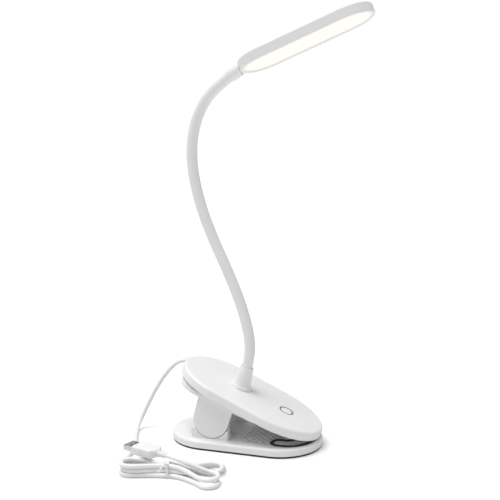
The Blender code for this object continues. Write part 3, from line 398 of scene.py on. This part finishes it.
def make_plug_grip():
    """The moulded grip: a soft box that narrows into a ribbed strain relief."""
    rings = []
    for k in range(6):
        angle = math.radians(90 * k / 5)
        less = GRIP_EDGE * (1 - math.sin(angle))
        rings.append(soft_box(GRIP_START + GRIP_EDGE * (1 - math.cos(angle)), GRIP_Y - less, GRIP_Z - less,
                              GRIP_SQUARENESS))
    stations = 24
    for k in range(1, stations + 1):
        share = k / stations
        x = GRIP_START + GRIP_EDGE + share * (RELIEF_START - GRIP_START - GRIP_EDGE)
        narrow = max(0.0, (share - GRIP_TAPER_FROM) / (1 - GRIP_TAPER_FROM)) ** GRIP_TAPER_POWER
        half_y = GRIP_Y + (GRIP_END_Y - GRIP_Y) * narrow
        half_z = GRIP_Z + (GRIP_END_Z - GRIP_Z) * narrow
        rings.append(soft_box(x, half_y, half_z, GRIP_SQUARENESS + (ROUND - GRIP_SQUARENESS) * narrow))
    pitch = (RELIEF_END - RELIEF_START) / RELIEF_RIBS
    for k in range(RELIEF_RIBS):
        crest = RELIEF_RADIUS - RELIEF_TAPER * k
        start = RELIEF_START + k * pitch
        for share, radius in ((0.10, RELIEF_ROOT), (0.38, RELIEF_ROOT), (0.48, crest), (0.90, crest),
                              (1, RELIEF_ROOT)):
            rings.append(soft_box(start + share * pitch, radius, radius, ROUND))
    rings = [[(x * MM, y * MM, z * MM) for x, y, z in ring] for ring in rings]
    return place(loft("plug_grip", rings, "lead_jacket", smooth=50), PLUG_FRAME)


def make_plug_inside():
    """The insulating tongue in the shell, and its four contacts."""
    low, high, half_y = -1.5, 0.3, 5.3
    middle, half_z = (low + high) / 2, (high - low) / 2
    squareness, steps = 9, 24
    stations = ((0.7, 0.35), (1.1, 0.0), (13.4, 0.0))  # x, and how much the tongue's nose is rounded there
    rings = []
    for x, less in stations:
        ring = soft_box(x, half_y - less, half_z - less, squareness, steps)
        rings.append([(x * MM, y * MM, (z + middle) * MM) for x, y, z in ring])
    tongue = place(loft("plug_tongue", rings, "inner_plastic"), PLUG_FRAME)
    contacts_at = ((-3.5, 1.4), (-1.1, 2.6), (1.1, 2.6), (3.5, 1.4))  # the outer two reach further forwards
    ramp, contact_end, half_width, sunk, proud = 0.4, 9.5, 0.55, high - 0.1, high + 0.16
    bm = bmesh.new()
    for y, start in contacts_at:
        profile = ((start, sunk), (start + ramp, proud), (contact_end, proud), (contact_end, sunk))
        sides = [[bm.verts.new((x * MM, (y + side * half_width) * MM, z * MM)) for x, z in profile]
                 for side in (-1, 1)]
        bm.faces.new(sides[0])
        bm.faces.new(sides[1])
        for i in range(4):
            j = (i + 1) % 4
            bm.faces.new((sides[0][i], sides[0][j], sides[1][j], sides[1][i]))
    contacts = place(made_object("plug_contacts", bm, "copper"), PLUG_FRAME)
    return tongue, contacts


def make_twist_tie():
    """A paper-covered wire tie round the hank, its two ends twisted together over the strands."""
    band, thick = 1.15, 0.45
    turn_steps = 56
    middle_z, half_height, floor_z = 5.9, 5.35, 0.05
    half_width, narrowing = 6.7, 0.17  # the loop narrows upwards
    fullness, wobble = 0.75, 0.25
    rings = []
    for i in range(turn_steps):
        angle = 2 * math.pi * i / turn_steps
        c, s = math.cos(angle), math.sin(angle)
        z = middle_z + half_height * math.copysign(abs(s) ** fullness, s)
        half = (half_width - narrowing * z) * math.copysign(abs(c) ** fullness, c)
        ring = []
        for x, out in ((-band, 0), (band, 0), (band, 1), (-band, 1)):
            ring.append(((x + wobble * math.sin(2 * angle)) * MM, (half + out * thick * c) * MM,
                         max(z + out * thick * s, floor_z) * MM))
        rings.append(ring)
    loop = loft("twist_tie", rings, "lead_jacket", closed=True)
    route = smooth_line([(0, -3.4, 11.0), (-0.6, -5.6, 12.2), (-2.2, -8.2, 11.6), (-4.4, -10.6, 9.2),
                         (-6.2, -12.2, 6.6)], 0.5)
    last = len(route) - 1
    end_width, end_thick, twist_per_step = 0.95, 0.32, 0.55
    corners = ((-end_width, -end_thick), (end_width, -end_thick),
               (end_width, end_thick), (-end_width, end_thick))
    ends = []
    for i, point in enumerate(route):
        twist = twist_per_step * i
        along = Vector(route[min(i + 1, last)] - route[max(i - 1, 0)]).normalized()
        side = along.cross(Vector((0, 0, 1))).normalized()
        up = side.cross(along)
        wide = side * math.cos(twist) + up * math.sin(twist)
        flat = side * -math.sin(twist) + up * math.cos(twist)
        ends.append([(Vector(point) + wide * a + flat * b) * MM for a, b in corners])
    twisted = loft("twist_tie_ends", ends, "lead_jacket")
    hank_frame = Matrix.Translation(HANK_TIE * MM) @ Matrix.Rotation(HANK_TURN, 4, "Z")
    return place(loop, hank_frame), place(twisted, hank_frame)


plug_shell = make_plug_shell()
stands_for(plug_shell, "base", "usb_shell")
plug_grip = make_plug_grip()
stands_for(plug_grip, "base", "usb_grip")
plug_tongue, plug_contacts = make_plug_inside()
stands_for(plug_tongue, "base", "usb_tongue")
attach(plug_contacts, "base")
twist_tie, twist_tie_ends = make_twist_tie()
stands_for(twist_tie, "base", "hank_tie")
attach(twist_tie_ends, "base")

# The clip: pads, patterned grip and spring, in millimetres

ARM_FRAME = Matrix.Translation((0, 0, 45.6 * MM)) @ Matrix.Rotation(math.radians(23.5), 4, "Y")
ARM_UNDERSIDE = -8.3  # in the arm's frame
BASE_TOP = 7.8
PAD_WIDTH, PAD_LEG, PAD_HALF_BAND = 3.2, 2.7, 8.5
PAD_ROUNDING = 0.8
LOWER_PAD, UPPER_PAD = (39, 16, 20.5), (41, 14, 18.5)  # the bend's x, its reach forwards and to each side
LOWER_PAD_LEVELS, UPPER_PAD_LEVELS = (6.6, 8.5), (0, 1.6)  # foot and crown
GRIP_REAR, GRIP_HALF_WIDTH, GRIP_CLEARANCE = 3, 27, 1.8
GRIP_MIDDLE = 14
LATTICE_STEP, LATTICE_PERIOD, LATTICE_COUNT = 0.75, 6, 84


def horseshoe(distance, bend_x, reach, spread):
    """A horseshoe open to the rear, drawn smaller by the distance all round."""
    half_band = PAD_HALF_BAND - distance
    bend = [math.radians(4 * k - 88) for k in range(45)]  # round the front
    cap = [math.radians(7.5 * k + 90) for k in range(25)]  # round a leg's rear end
    tip = bend_x - PAD_LEG
    out_x, out_y, in_x, in_y = reach + half_band, spread + half_band, reach - half_band, spread - half_band
    points = [(bend_x + out_x * math.cos(a), out_y * math.sin(a)) for a in bend]
    points += [(tip + half_band * math.cos(a), spread + half_band * math.sin(a)) for a in cap]
    points += [(bend_x + in_x * math.cos(a), -in_y * math.sin(a)) for a in bend]
    points += [(tip + half_band * math.cos(a), half_band * math.sin(a) - spread) for a in cap]
    return points


def make_pad(name, levels, size, frame_at):
    """A rubber rib with a rounded crown, round the edge of a horseshoe band."""
    low, high = levels
    profile = [(0, low)]
    for k in range(5):
        angle = math.radians(90 * k / 4)
        profile.append((PAD_ROUNDING * (1 - math.cos(angle)), high - PAD_ROUNDING * (1 - math.sin(angle))))
    profile += [(PAD_WIDTH - distance, z) for distance, z in profile[::-1]]
    rings = [[(x * MM, y * MM, z * MM) for x, y in horseshoe(distance, *size)] for distance, z in profile]
    return place(loft(name, rings, "dark_rubber", closed=True, smooth=50), frame_at)


def in_grip(x, y):
    """Whether a point of the lower jaw's floor lies behind the pad's legs and clear of them."""
    bend_x, _, spread = LOWER_PAD
    off_legs = math.hypot(min(0, x - bend_x + PAD_LEG), abs(y) - spread) > PAD_HALF_BAND + GRIP_CLEARANCE
    return GRIP_REAR < x < bend_x - PAD_LEG and abs(y) < GRIP_HALF_WIDTH and off_legs


def diagonal_grid(height):
    """A square grid of points set cornerwise on the jaw's floor."""
    scale = LATTICE_STEP * math.sqrt(0.5)
    return [[((GRIP_MIDDLE + scale * (i - j)) * MM, scale * (i + j - LATTICE_COUNT) * MM, height * MM)
             for j in range(LATTICE_COUNT + 1)] for i in range(LATTICE_COUNT + 1)]


def make_grip_floor():
    """A plate with a raised white diamond lattice on the lower jaw's floor, between spring and pad. The
    plate's grey is painted shade, for the shadow under the arm.
    """
    plate_low, rib_low, plate_high, rib_high = 7.5, 7.85, 8.05, 8.75
    top = diagonal_grid(rib_high)
    inside = np.zeros((LATTICE_COUNT, LATTICE_COUNT), bool)
    ribs = np.zeros((LATTICE_COUNT, LATTICE_COUNT), bool)
    for i in range(LATTICE_COUNT):
        for j in range(LATTICE_COUNT):
            x, y, _ = (Vector(top[i][j]) + Vector(top[i + 1][j + 1])) / 2 / MM
            inside[i, j] = in_grip(x, y)
            ribs[i, j] = inside[i, j] and (i % LATTICE_PERIOD == 0 or j % LATTICE_PERIOD == 0)
    # The plate's grey inner_plastic is painted shade under the arm, not the floor's own colour.
    plate = walled_grid("grip_plate_painted_shade", diagonal_grid(plate_high), diagonal_grid(plate_low), inside,
                        "inner_plastic")
    lattice = walled_grid("grip_lattice", top, diagonal_grid(rib_low), ribs, "white_plastic")
    return plate, lattice


def make_spring():
    """The round-wire torsion spring on the axle, its legs bent out along the base and the arm."""
    radius, wire, turns, half = 9.0, 0.95, 6.25, 15.0
    axis_x, axis_z = -23.0, 24.6
    per_turn = 56
    start_angle = math.radians(-62)
    foot_reach, foot_gap = 14, 0.3
    arm_reach, arm_drop = 15.5, 1.5
    sides = 12
    total = int(turns * per_turn)
    coil = []
    for i in range(total + 1):
        angle = start_angle + 2 * math.pi * i / per_turn
        coil.append((axis_x + radius * math.cos(angle), -half + 2 * half * i / total,
                     axis_z + radius * math.sin(angle)))
    coil = np.array(coil)
    foot = np.array((coil[0][0] + foot_reach, coil[0][1], BASE_TOP + wire + foot_gap))
    arm_leg = coil[-1] + (arm_reach, 0, -arm_drop)
    shares = np.linspace(0, 1, 16)[:-1, None]
    rising = foot + (coil[0] - foot) * shares
    leaving = coil[-1] + (arm_leg - coil[-1]) * shares
    line = np.concatenate([rising, coil, leaving[1:]])
    for _ in range(2):  # rounds the two bends
        line[1:-1] = (line[:-2] + line[1:-1] + line[2:]) / 3
    return tube("clip_spring_wire", line * MM, wire * MM, sides, "hardware_steel")


lower_pad = make_pad("lower_pad", LOWER_PAD_LEVELS, LOWER_PAD, Matrix.Identity(4))
stands_for(lower_pad, "base", "lower_jaw_pad")
under_arm = ARM_FRAME @ Matrix.Translation((0, 0, ARM_UNDERSIDE * MM)) @ Matrix.Rotation(math.pi, 4, "X")
upper_pad = make_pad("upper_pad", UPPER_PAD_LEVELS, UPPER_PAD, under_arm)
stands_for(upper_pad, "arm", "upper_jaw_pad")
for made in make_grip_floor():
    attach(made, "base")
stands_for(make_spring(), "base", "clip_spring")

# The head's seam, filled to just under the surface

HEAD_FRAME = (Matrix.Translation(Vector((51.5, 0, 340.9)) * MM)
              @ Matrix.Rotation(math.radians(-22.5), 4, "Y") @ Matrix.Rotation(math.radians(-4), 4, "X"))
HEAD_HALF_LENGTH, HEAD_HALF_WIDTH = 60, 24


def head_outline(distance, steps=160):
    """The head's straight-sided oval in millimetres, drawn smaller by the distance all round."""
    straight, radius = HEAD_HALF_LENGTH - HEAD_HALF_WIDTH, HEAD_HALF_WIDTH - distance
    points = []
    for i in range(steps):
        angle = 2 * math.pi * (i + 0.5) / steps
        c, s = math.cos(angle), math.sin(angle)
        points.append((math.copysign(straight, c) + radius * c, radius * s))
    return points


def make_head_seam():
    """A ring that fills the groove between the head's frame and cover to just under their surface."""
    low, high = 6.6, 7.1
    near, deep = 0.12, 1.2
    profile = ((near, low), (near, high), (deep, high), (deep, low))
    rings = [[(x * MM, y * MM, z * MM) for x, y in head_outline(distance)] for distance, z in profile]
    return place(loft("head_seam", rings, "white_plastic", closed=True), HEAD_FRAME)


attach(make_head_seam(), "head")

# Stage

FLOOR_REACH, FLOOR_THICKNESS = 6, 0.02  # metres
CORNERS = ((-1, -1), (1, -1), (1, 1), (-1, 1))
floor = loft("floor", [[(x * FLOOR_REACH, y * FLOOR_REACH, z) for x, y in CORNERS]
                       for z in (-FLOOR_THICKNESS, 0)])

# Materials: each is one shader whose colour, roughness and bump come from noise in the object's own space

ROUGHNESS_SPREAD = 0.06
DIFFUSER_GLOW = 0.40
FLOOR_LIFT = 0.22  # the floor's own light where the camera sees it, so that it reads as a white sweep


def surface(name, color, roughness, grain, depth, shift, cloud, metallic=0.0):
    """A finished surface: colour clouds, roughness that wanders, and a fine moulded or drawn grain.

    The grain and the clouds are noise scales, the depth of the grain is in millimetres, and the shift is
    how far the colour strays to each side, as a share of itself.
    """
    made = bpy.data.materials.new(name)
    made.use_nodes = True
    tree = made.node_tree
    shader = tree.nodes["Principled BSDF"]
    shader.inputs["Metallic"].default_value = metallic
    space = tree.nodes.new("ShaderNodeTexCoord")
    clouds = tree.nodes.new("ShaderNodeTexNoise")
    clouds.inputs["Scale"].default_value = cloud
    clouds.inputs["Detail"].default_value = 3
    tree.links.new(space.outputs["Object"], clouds.inputs["Vector"])
    tint = tree.nodes.new("ShaderNodeValToRGB")
    tint.color_ramp.elements[0].position = 0.3
    tint.color_ramp.elements[1].position = 0.7
    tint.color_ramp.elements[0].color = (*[c * (1 - shift) for c in color], 1)
    tint.color_ramp.elements[1].color = (*[min(1, c * (1 + shift)) for c in color], 1)
    tree.links.new(clouds.outputs["Fac"], tint.inputs["Fac"])
    tree.links.new(tint.outputs["Color"], shader.inputs["Base Color"])
    fine = tree.nodes.new("ShaderNodeTexNoise")
    fine.inputs["Scale"].default_value = grain
    fine.inputs["Detail"].default_value = 2
    tree.links.new(space.outputs["Object"], fine.inputs["Vector"])
    wander = tree.nodes.new("ShaderNodeMapRange")
    wander.inputs["To Min"].default_value = roughness - ROUGHNESS_SPREAD
    wander.inputs["To Max"].default_value = roughness + ROUGHNESS_SPREAD
    tree.links.new(clouds.outputs["Fac"], wander.inputs["Value"])
    tree.links.new(wander.outputs["Result"], shader.inputs["Roughness"])
    bump = tree.nodes.new("ShaderNodeBump")
    bump.inputs["Strength"].default_value = 0.6
    bump.inputs["Distance"].default_value = depth * MM
    tree.links.new(fine.outputs["Fac"], bump.inputs["Height"])
    tree.links.new(bump.outputs["Normal"], shader.inputs["Normal"])
    return made


MATERIALS = {
    "white_plastic": surface("white_plastic", (0.87, 0.87, 0.868), 0.36, 2200, 0.004, 0.012, 30),
    # inner_plastic: the plug tongue's own grey, and on the grip plate painted shade under the arm.
    "inner_plastic": surface("inner_plastic", (0.62, 0.62, 0.625), 0.5, 1500, 0.03, 0.05, 60),
    "neck_sleeve": surface("neck_sleeve", (0.85, 0.853, 0.86), 0.5, 1600, 0.01, 0.015, 45),
    "lead_jacket": surface("lead_jacket", (0.87, 0.873, 0.88), 0.42, 1800, 0.01, 0.03, 120),
    "dark_rubber": surface("dark_rubber", (0.018, 0.018, 0.019), 0.62, 1400, 0.05, 0.2, 150),
    "grey_ring": surface("grey_ring", (0.09, 0.09, 0.095), 0.45, 1800, 0.02, 0.1, 120),
    "hardware_steel": surface("hardware_steel", (0.55, 0.55, 0.56), 0.3, 1200, 0.02, 0.06, 200, metallic=1.0),
    "usb_steel": surface("usb_steel", (0.66, 0.65, 0.64), 0.24, 1400, 0.01, 0.06, 220, metallic=1.0),
    "board_green": surface("board_green", (0.02, 0.15, 0.07), 0.4, 900, 0.03, 0.2, 250),
    "copper": surface("copper", (0.72, 0.45, 0.28), 0.3, 1400, 0.01, 0.08, 220, metallic=1.0),
    "cell_foil": surface("cell_foil", (0.55, 0.57, 0.60), 0.35, 1000, 0.05, 0.08, 160, metallic=0.9),
    "clear_plastic": surface("clear_plastic", (0.88, 0.90, 0.90), 0.12, 800, 0.005, 0.01, 60),
    "opal_diffuser": surface("opal_diffuser", (0.68, 0.65, 0.61), 0.4, 1500, 0.01, 0.01, 60),
    "floor_paint": surface("floor_paint", (0.80, 0.80, 0.80), 0.6, 60, 0.01, 0.003, 3),
}
glow = MATERIALS["opal_diffuser"].node_tree.nodes["Principled BSDF"]
glow.inputs["Emission Color"].default_value = (1.0, 0.94, 0.87, 1)
glow.inputs["Emission Strength"].default_value = DIFFUSER_GLOW
MATERIALS["opal_diffuser"].cycles.emission_sampling = "NONE"

floor_nodes, floor_links = MATERIALS["floor_paint"].node_tree.nodes, MATERIALS["floor_paint"].node_tree.links
floor_shader = floor_nodes["Principled BSDF"]
floor_shader.inputs["Emission Color"].default_value = (1, 1, 1, 1)
seen_floor = floor_nodes.new("ShaderNodeLightPath")
lift = floor_nodes.new("ShaderNodeMath")
lift.operation = "MULTIPLY"
lift.inputs[1].default_value = FLOOR_LIFT
floor_links.new(seen_floor.outputs["Is Camera Ray"], lift.inputs[0])
floor_links.new(lift.outputs["Value"], floor_shader.inputs["Emission Strength"])


def dress(made, slot):
    """Gives the object the one material of its slot."""
    made.data.materials.clear()
    made.data.materials.append(MATERIALS[slot])


for entry in frame["record"]["subparts"]:
    dress(NODES[entry["node"]], entry["material_slot"])
for made in bpy.context.scene.objects:
    if "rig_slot" in made and "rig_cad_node" not in made:
        dress(made, made["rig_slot"])
dress(floor, "floor_paint")

# Light: a broad soft sun from above, and a pale studio all round that the camera sees as white

SUN_STRENGTH, SUN_WIDTH = 2.25, math.radians(35)
SUN_DIRECTION = Vector((0.25, 0.1, -1.0))
STUDIO_LIGHT, STUDIO_SEEN = 0.47, 1.05

sun = bpy.data.lights.new("sun", "SUN")
sun.energy = SUN_STRENGTH
sun.angle = SUN_WIDTH
sun_object = bpy.data.objects.new("sun", sun)
bpy.context.scene.collection.objects.link(sun_object)
sun_object.rotation_euler = SUN_DIRECTION.to_track_quat("-Z", "Y").to_euler()

world = bpy.data.worlds.new("studio")
world.use_nodes = True
nodes, links = world.node_tree.nodes, world.node_tree.links
lighting = nodes["Background"]
lighting.inputs["Color"].default_value = (1, 1, 1, 1)
lighting.inputs["Strength"].default_value = STUDIO_LIGHT
backdrop = nodes.new("ShaderNodeBackground")
backdrop.inputs["Color"].default_value = (1, 1, 1, 1)
backdrop.inputs["Strength"].default_value = STUDIO_SEEN
seen = nodes.new("ShaderNodeLightPath")
mixed = nodes.new("ShaderNodeMixShader")
links.new(seen.outputs["Is Camera Ray"], mixed.inputs["Fac"])
links.new(lighting.outputs["Background"], mixed.inputs[1])
links.new(backdrop.outputs["Background"], mixed.inputs[2])
links.new(mixed.outputs["Shader"], nodes["World Output"].inputs["Surface"])
bpy.context.scene.world = world
bpy.context.scene.view_settings.view_transform = "Standard"
